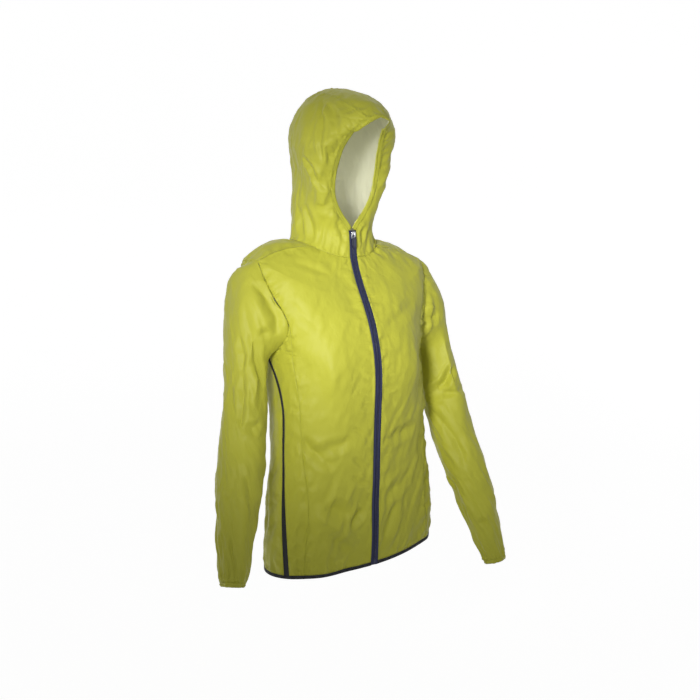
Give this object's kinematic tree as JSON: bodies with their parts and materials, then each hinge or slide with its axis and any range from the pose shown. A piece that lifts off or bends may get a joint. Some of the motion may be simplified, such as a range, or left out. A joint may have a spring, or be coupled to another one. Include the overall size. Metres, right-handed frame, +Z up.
{
  "type": "hooded windbreaker jacket",
  "caption": "Light hooded windbreaker, filled out as worn: panels, sleeves, hood with gathered face edge, full front zip with pull tab, dark side stripes and hem.",
  "frame": {"origin": "on the axis of the neck, level with the top of the zip's neck seam, where the wearer's neck and shoulders carry the jacket", "axes": "+Z up the wearer's body, -Y the way the front faces, +X to the wearer's left"},
  "size_m": [0.6272, 0.2939, 0.9356],
  "materials": {
    "shell": "thin shiny lime nylon",
    "binding": "charcoal elastic binding",
    "zip_tape": "navy woven tape",
    "zip_coil": "navy nylon coil",
    "slider_metal": "silver zip slider"
  },
  "bodies": {
    "jacket": {"front_right": "shell", "front_left": "shell", "side_front_right": "shell", "side_front_left": "shell", "back": "shell", "sleeve_right": "shell", "sleeve_left": "shell", "cuff_band_right": "shell", "cuff_band_left": "shell", "hood_side_right": "shell", "hood_side_left": "shell", "hood_crown": "shell", "hood_edge_band": "shell", "side_stripe_right": "binding", "side_stripe_left": "binding", "hem_binding": "binding", "zip_tape_right": "zip_tape", "zip_tape_left": "zip_tape", "zip_coil": "zip_coil", "zip_slider": "slider_metal", "zip_bridge": "slider_metal"},
    "pull_tab": {"zip_pull_tab": "slider_metal"}
  },
  "joints": [
    {"name": "pull_tab_hinge", "type": "hinge", "parent": "jacket", "child": "pull_tab", "pos_m": [0, -0.08772, 0.02952], "axis": [-1, 0, 0], "range_deg": [0, 150]}
  ]
}
